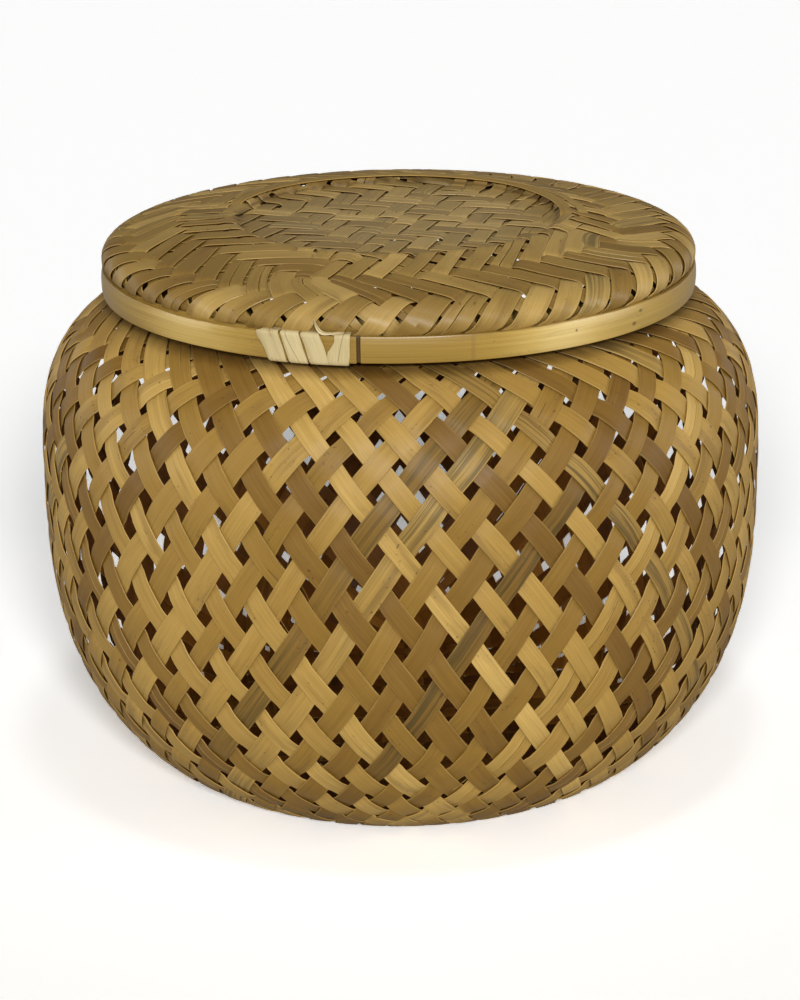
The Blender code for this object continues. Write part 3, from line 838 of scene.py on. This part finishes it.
def put(kind, inputs, tree=None, **settings):
    # Adds a shader node; inputs takes numbers, colours or the sockets to link. The tree is
    # that of the sockets, where none is given.
    linked = {key: value for key, value in inputs.items() if isinstance(value, bpy.types.NodeSocket)}
    tree = tree or next(iter(linked.values())).id_data
    node = tree.nodes.new("ShaderNode" + kind)
    for key, value in settings.items():
        setattr(node, key, value)
    for key, value in inputs.items():
        if key in linked:
            tree.links.new(value, node.inputs[key])
        else:
            node.inputs[key].default_value = value
    return node


def maths(operation, *values, clamp=False):
    return put("Math", dict(enumerate(values)), operation=operation, use_clamp=clamp).outputs[0]


def times(a, b):
    return maths("MULTIPLY", a, b)


def timesPlus(a, b, c):
    return maths("MULTIPLY_ADD", a, b, c)


def vector(*values):
    return put("CombineXYZ", dict(enumerate(values))).outputs[0]


def noise(place, detail=2.0, roughness=0.5):
    inputs = {"Vector": place, "Scale": 1.0, "Detail": detail, "Roughness": roughness}
    return put("TexNoise", inputs).outputs["Fac"]


def rising(value, low, high, toLow=0.0, toHigh=1.0):
    inputs = {"Value": value, "From Min": low, "From Max": high, "To Min": toLow, "To Max": toHigh}
    return put("MapRange", inputs, interpolation_type="SMOOTHSTEP").outputs["Result"]


def mixed(factor, first, second, blend="MIX"):
    # The numbers are the Mix node's sockets for a factor and for two colours.
    return put("Mix", {0: factor, 6: first, 7: second}, data_type="RGBA", blend_type=blend).outputs[2]


def colourRamp(factor, stops):
    node = put("ValToRGB", {"Fac": factor})
    elements = node.color_ramp.elements
    while len(elements) < len(stops):
        elements.new(1.0)
    for element, (position, colour) in zip(elements, stops):
        element.position = position
        element.color = paint(*colour)
    return node.outputs["Color"]


def openGroup(name, inputs):
    tree = bpy.data.node_groups.new(name, "ShaderNodeTree")
    for socketName, value in inputs.items():
        socket = tree.interface.new_socket(socketName, in_out="INPUT", socket_type="NodeSocketFloat")
        socket.default_value = value
    return tree, tree.nodes.new("NodeGroupInput").outputs


def closeGroup(tree, results):
    for socketName in results:
        tree.interface.new_socket(socketName, in_out="OUTPUT", socket_type="NodeSocketFloat")
    finish = tree.nodes.new("NodeGroupOutput")
    for socketName, value in results.items():
        tree.links.new(value, finish.inputs[socketName])
    return tree


def makeFibreGroup():
    # Bamboo's fibres along a strip: broad streaks, fine lines, cracks, and their relief.
    tree, given = openGroup("bambooFibres", {
        "Along": 0.0, "Across": 0.0, "Seed": 0.0,
        "Streak Length": 0.06, "Streak Width": 0.0011, "Crack Share": 0.3})
    shift = times(given["Seed"], 57.0)
    along = maths("DIVIDE", given["Along"], given["Streak Length"])
    across = maths("DIVIDE", given["Across"], given["Streak Width"])
    streaks = noise(vector(along, across, shift), 3.0, 0.6)
    lines = noise(vector(times(along, 3.0), times(across, 4.5), shift), 2.0, 0.6)
    wander = noise(vector(times(along, 0.9), 0.0, shift))
    away = maths("SUBTRACT", given["Across"], timesPlus(wander, 0.012, -0.006))
    line = rising(maths("ABSOLUTE", away), 0.00005, 0.00018, 1.0, 0.0)
    here = noise(vector(times(along, 1.3), 4.0, shift))
    present = maths("GREATER_THAN", here, timesPlus(given["Crack Share"], -0.5, 0.75))
    cracks = times(line, present)
    relief = timesPlus(streaks, 0.6, times(lines, 0.4))
    relief = timesPlus(cracks, -0.9, relief)
    return closeGroup(tree, {"Streaks": streaks, "Lines": lines, "Cracks": cracks,
                             "Relief": relief})


def makeAgeGroup():
    # What time and handling leave on a strip: slow drifts of tone, blotches and rubbed edges.
    tree, given = openGroup("bambooAge", {
        "Along": 0.0, "Across": 0.0, "Seed": 0.0, "Edge": 0.0, "Drift Length": 0.11})
    shift = times(given["Seed"], 83.0)
    along = maths("DIVIDE", given["Along"], given["Drift Length"])
    drift = noise(vector(along, 0.0, shift), 1.0)
    blotchPlace = vector(times(along, 2.6), times(given["Across"], 160.0), shift)
    blotches = rising(noise(blotchPlace, 3.0, 0.6), 0.52, 0.7)
    speckPlace = vector(times(along, 75.0), times(given["Across"], 900.0), shift)
    specks = times(rising(noise(speckPlace, 1.0), 0.68, 0.74),
                   rising(noise(blotchPlace, 1.0), 0.5, 0.62))
    chipped = noise(vector(times(along, 14.0), 0.0, shift))
    pastEdge = maths("SUBTRACT", given["Edge"], timesPlus(chipped, 0.25, 0.74))
    return closeGroup(tree, {"Drift": drift, "Blotches": blotches, "Specks": specks,
                             "Rubbed Edge": maths("MULTIPLY", pastEdge, 7.0, clamp=True)})


fibreGroup = makeFibreGroup()
ageGroup = makeAgeGroup()

bodyFinish = {
    "tones": [(0.0, (110, 78, 28)), (0.22, (134, 100, 39)), (0.42, (150, 116, 49)),
              (0.6, (163, 128, 59)), (0.8, (188, 153, 80)), (1.0, (222, 187, 113))],
    "weathered": (84, 68, 34),       # grey-green streaks of strips cut near the skin
    "weatheredShare": 0.2,
    "stain": (112, 82, 38),
    "stainStrength": 0.4,
    "speck": (72, 48, 22),
    # painted shade: under the lid's hoop, at the ring's foot and in the hoops' lap grooves
    "dirt": (50, 28, 10),
    # dust and a painted grey sheen
    "dustAndSheen": (150, 134, 98),
    "dustAndSheenStrength": 0.38,
    "inside": (250, 203, 140),       # painted shade: the strips' inner faces, seen through the openings, darkened and warmed as the basket's shaded inside
    "toneReach": 0.84,
    "driftReach": 0.5,
    "streakReach": 0.22,
    "edge": (202, 168, 94),
    "edgeStrength": 0.25,
    "crack": (62, 38, 10),
    "streakLength": 0.06,
    "streakWidth": 0.0011,
    "crackShare": 0.12,
    "roughness": (0.42, 0.62),
    "specular": 0.3,
    "bump": 0.4,
    "bumpDepth": 0.00016,
}

lidFinish = dict(
    bodyFinish,
    tones=[(0.0, (124, 94, 40)), (0.22, (142, 111, 51)), (0.42, (155, 125, 62)),
           (0.6, (169, 138, 73)), (0.8, (188, 156, 88)), (1.0, (212, 180, 110))],
    weathered=(104, 88, 48),
    weatheredShare=0.16,
    toneReach=0.68,
    roughness=(0.38, 0.56),
    specular=0.42,
)

hoopFinish = dict(
    bodyFinish,
    tones=[(0.0, (128, 97, 32)), (0.3, (152, 120, 46)), (0.55, (174, 142, 64)),
           (0.8, (202, 172, 95)), (1.0, (226, 200, 132))],
    weatheredShare=0.0,
    stainStrength=0.25,
    toneReach=0.85,
    driftReach=0.4,
    streakReach=0.28,
    edge=(132, 100, 46),
    edgeStrength=0.35,
    specular=0.5,
    streakLength=0.16,
    streakWidth=0.0008,
    roughness=(0.27, 0.42),
    bump=0.3,
    bumpDepth=0.0001,
)

hoopCoat = {"Coat Weight": 0.18, "Coat Roughness": 0.3}   # the outer hoop's smooth skin

peelFinish = dict(
    bodyFinish,
    tones=[(0.0, (170, 151, 102)), (0.4, (198, 180, 132)), (0.7, (214, 197, 150)),
           (1.0, (232, 218, 178))],
    stain=(176, 152, 104),
    weatheredShare=0.0,
    toneReach=0.5,
    driftReach=0.6,
    edge=(172, 148, 100),
    edgeStrength=0.45,
    crack=(132, 106, 64),
    streakLength=0.03,
    streakWidth=0.0006,
    crackShare=0.4,
    roughness=(0.5, 0.7),
    bump=0.45,
)


def bambooMaterial(name, look, marks=None):
    material = bpy.data.materials.new(name)
    material.use_nodes = True
    tree = material.node_tree
    shader = tree.nodes["Principled BSDF"]
    along, across, edge, tone, seed, inside, dustAndSheen, dirt = (
        put("Attribute", {}, tree, attribute_name=layer).outputs["Fac"]
        for layer in ("along", "across", "edge", "tone", "seed", "inside", "dustAndSheen", "dirt"))
    place = {"Along": along, "Across": across, "Seed": seed}
    fibres = put("Group", {**place, "Streak Length": look["streakLength"],
                           "Streak Width": look["streakWidth"],
                           "Crack Share": look["crackShare"]}, node_tree=fibreGroup).outputs
    age = put("Group", {**place, "Edge": edge}, node_tree=ageGroup).outputs
    level = timesPlus(tone, look["toneReach"], 0.5 - look["toneReach"] / 2)
    for value, reach in ((age["Drift"], look["driftReach"]),
                         (fibres["Streaks"], look["streakReach"])):
        level = timesPlus(value, reach, maths("SUBTRACT", level, reach / 2))
    colour = colourRamp(level, look["tones"])

    def covered(share, strength, key):
        return mixed(times(share, strength), colour, paint(*look[key]))
    # Weathered strips, picked by their seed, go grey-green in long patches
    if look["weatheredShare"] > 0:
        start = 1 - look["weatheredShare"]
        picked = times(rising(seed, start, start + 0.04), rising(age["Drift"], 0.36, 0.56))
        streaky = rising(fibres["Streaks"], 0.4, 0.62, 0.12, 0.85)
        colour = covered(picked, streaky, "weathered")
    colour = covered(age["Blotches"], look["stainStrength"], "stain")
    fineTone = colourRamp(fibres["Lines"], [(0.3, (212, 203, 188)), (0.65, (255, 255, 255))])
    colour = mixed(0.7, colour, fineTone, "MULTIPLY")
    colour = covered(age["Specks"], 0.6, "speck")
    colour = covered(age["Rubbed Edge"], look["edgeStrength"], "edge")
    colour = covered(fibres["Cracks"], 0.75, "crack")
    # painted shade: the inner faces darkened and warmed
    colour = mixed(inside, colour, paint(*look["inside"]), "MULTIPLY")
    # dust and a painted grey sheen towards the middle
    colour = covered(dustAndSheen, look["dustAndSheenStrength"], "dustAndSheen")
    # painted shade where the dirt layer is set
    colour = covered(dirt, 0.85, "dirt")
    relief = fibres["Relief"]
    if marks:
        colour, relief = marks(along, across, colour, relief)
    smooth, rough = look["roughness"]
    roughness = rising(fibres["Lines"], 0.3, 0.7, smooth, rough)
    bump = put("Bump", {"Strength": look["bump"], "Distance": look["bumpDepth"],
                        "Height": relief})
    shader.inputs["Specular IOR Level"].default_value = look["specular"]
    tree.links.new(colour, shader.inputs["Base Color"])
    tree.links.new(roughness, shader.inputs["Roughness"])
    tree.links.new(bump.outputs["Normal"], shader.inputs["Normal"])
    return material


hoopMarks = {
    # run along the hoop from its top end, height over its middle, half length and half height
    "palePatch": (0.1335, 0.0010, 0.0012, 0.0017),
    "darkSpots": [(0.560, 0.0022, 0.0010, 0.0006), (0.5635, -0.0016, 0.0012, 0.0007),
                  (0.5905, 0.0012, 0.0005, 0.0005), (0.452, 0.0005, 0.0006, 0.0004),
                  (0.300, -0.0012, 0.0009, 0.0006)],
    "nodes": [0.1345, 0.392, 0.628],
}


def skinMarks(along, across, colour, relief):
    # Bamboo's nodes, a chip that shows the pale wood, and a few dark specks.
    def oval(run, height, halfRun, halfHeight):
        x = maths("DIVIDE", maths("SUBTRACT", along, run), halfRun)
        y = maths("DIVIDE", maths("SUBTRACT", across, height), halfHeight)
        return rising(timesPlus(x, x, times(y, y)), 0.5, 1.3, 1.0, 0.0)
    for run in hoopMarks["nodes"]:
        away = maths("ABSOLUTE", maths("SUBTRACT", along, run))
        ring = rising(away, 0.0003, 0.0011, 1.0, 0.0)
        colour = mixed(times(ring, 0.35), colour, paint(128, 98, 50))
        relief = timesPlus(ring, 0.8, relief)
    for spot in hoopMarks["darkSpots"]:
        colour = mixed(times(oval(*spot), 0.7), colour, paint(86, 62, 30))
    patch = oval(*hoopMarks["palePatch"])
    colour = mixed(times(patch, 0.85), colour, paint(222, 200, 142))
    return colour, timesPlus(patch, 0.9, relief)


bodyMaterial = bambooMaterial("woven_bamboo", bodyFinish)
lidMaterial = bambooMaterial("lid_woven_bamboo", lidFinish)
hoopMaterial = bambooMaterial("bamboo_hoop_skin", hoopFinish, skinMarks)
for socketName, value in hoopCoat.items():
    hoopMaterial.node_tree.nodes["Principled BSDF"].inputs[socketName].default_value = value
innerHoopMaterial = bambooMaterial("bamboo_hoop_inner", dict(hoopFinish, roughness=(0.4, 0.55)))
peelMaterial = bambooMaterial("bamboo_peel", peelFinish)
print("materials made")

for piece in weaveWall(bodyWeave, bodyProfile(), "body"):
    finishPiece(piece, bodyMaterial, "basket", "body_weave")
lidWall = lidProfile()
lidPieces = weaveWall(lidWeave, lidWall, "lid")
for number, (start, end, *radii, width, tone) in enumerate(ringLook["strips"], 1):
    lidPieces.append(ringStrip("lid_ring_strip_%d" % number, lidWall, start, end, radii, width, tone))
for piece in lidPieces:
    finishPiece(piece, lidMaterial, "lid", "lid_weave")
print("weaves laid")

mouthThickness, lidThickness = hoopLook["mouthThickness"], hoopLook["lidThickness"]
for node, thickness, lashing, skinSide, material in (
        ("mouth_inner_hoop", mouthThickness, "mouth_lashing_back", "in", innerHoopMaterial),
        ("mouth_outer_hoop", mouthThickness, "mouth_lashing_right", "out", innerHoopMaterial),
        ("lid_inner_hoop", lidThickness, "lid_back_lashing", "in", innerHoopMaterial),
        ("lid_outer_hoop", lidThickness, "lid_front_lashing", "out", hoopMaterial)):
    piece = lappedHoop(node + "_bent", node, thickness, lashing, skinSide)
    finishPiece(piece, material, "lid" if node.startswith("lid") else "basket", node)
finishPiece(underStrip(), innerHoopMaterial, "lid", "lid_under_strip")
for node, angle in lashingAngles.items():
    part, body, thickness = ("lid", "lid", lidThickness) if node.startswith("lid") \
        else ("mouth", "basket", mouthThickness)
    innerBox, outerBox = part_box(part + "_inner_hoop"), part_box(part + "_outer_hoop")
    piece = woundPeel(node + "_wound", innerBox[1].x - thickness, outerBox[1].x,
                      outerBox[0].z, outerBox[1].z, angle)
    finishPiece(piece, peelMaterial, body, node)
finishPiece(peelTail(), peelMaterial, "lid", "lid_front_lashing")
print("hoops and lashings made")


# Floor, light and camera

stageLook = {
    "floorSize": 12.0,
    "floorGap": 0.0002,        # how far it lies under the base
    "floorColour": (0.5, 0.5, 0.49),
    "floorSeenColour": (1.64, 1.64, 1.635),   # the paper as the camera sees it
    "worldStrength": 0.12,
    # strength, degrees from the front towards the right, degrees up, softness in degrees
    "suns": {"key_left": (1.45, -9.0, 23.5, 9.0), "key_right": (1.55, 11.0, 24.5, 9.0),
             "fill_left": (1.0, -84.0, 5.0, 32.0), "fill_right": (1.2, 80.0, 5.0, 30.0),
             "fill_back_left": (0.28, -132.0, 4.0, 30.0),
             "fill_back_right": (0.28, 134.0, 4.0, 30.0)},
    "topPower": 6.5,
    "topPlace": (0.03, -0.12, 0.86),
    "topAim": (0.0, 0.0, 0.19),
    "topCone": 21.0,
    "topSoftness": 0.12,
}

cameraLook = {
    "distance": 1.040,
    "elevation": 19.88,
    "orbitHeight": 0.078,
    "aim": (-0.0005, 0.0, 0.0918),
    "roll": -0.7,
    "lens": 101.1,
}


def makeFloor():
    mesh = bpy.data.meshes.new("floor")
    half = stageLook["floorSize"] / 2
    corners = [(-half, -half, 0), (half, -half, 0), (half, half, 0), (-half, half, 0)]
    mesh.from_pydata(corners, [], [(0, 1, 2, 3)])
    floor = addObject("floor", mesh)
    floor.location.z = -stageLook["floorGap"]
    material = bpy.data.materials.new("floor_paper")
    material.use_nodes = True
    tree = material.node_tree
    shader = tree.nodes["Principled BSDF"]
    seen = put("LightPath", {}, tree).outputs["Is Camera Ray"]
    colour = mixed(seen, (*stageLook["floorColour"], 1), (*stageLook["floorSeenColour"], 1))
    tree.links.new(colour, shader.inputs["Base Color"])
    shader.inputs["Roughness"].default_value = 0.9
    shader.inputs["Specular IOR Level"].default_value = 0.1
    mesh.materials.append(material)


def addLamp(name, data, strength, towards):
    data.energy = strength
    lamp = addObject(name, data)
    lamp.rotation_euler = towards.to_track_quat("Z", "Y").to_euler()
    return lamp


def makeLights():
    world = bpy.data.worlds.new("studio")
    bpy.context.scene.world = world
    world.use_nodes = True
    background = world.node_tree.nodes["Background"]
    background.inputs["Color"].default_value = (1, 1, 1, 1)
    background.inputs["Strength"].default_value = stageLook["worldStrength"]
    for name, (strength, side, rise, softness) in stageLook["suns"].items():
        sun = bpy.data.lights.new(name, "SUN")
        sun.angle = math.radians(softness)
        rise = math.radians(rise)
        addLamp(name, sun, strength, Vector(around(math.cos(rise), side, math.sin(rise))))
    spot = bpy.data.lights.new("top", "SPOT")
    spot.spot_size = math.radians(stageLook["topCone"])
    spot.spot_blend = 0.5
    spot.shadow_soft_size = stageLook["topSoftness"]
    place = Vector(stageLook["topPlace"])
    addLamp("top", spot, stageLook["topPower"], place - Vector(stageLook["topAim"])).location = place


def makeCamera():
    look = cameraLook
    data = bpy.data.cameras.new("camera")
    data.lens = look["lens"]
    camera = addObject("camera", data)
    rise = math.radians(look["elevation"])
    camera.location = (0.0, -look["distance"] * math.cos(rise),
                       look["orbitHeight"] + look["distance"] * math.sin(rise))
    turn = (Vector(look["aim"]) - camera.location).to_track_quat("-Z", "Y").to_matrix().to_4x4()
    turn = turn @ Matrix.Rotation(math.radians(look["roll"]), 4, "Z")
    camera.rotation_euler = turn.to_euler()
    bpy.context.scene.camera = camera


makeFloor()
makeLights()
makeCamera()
bpy.context.scene.view_settings.view_transform = "Standard"
print("stage and camera made")
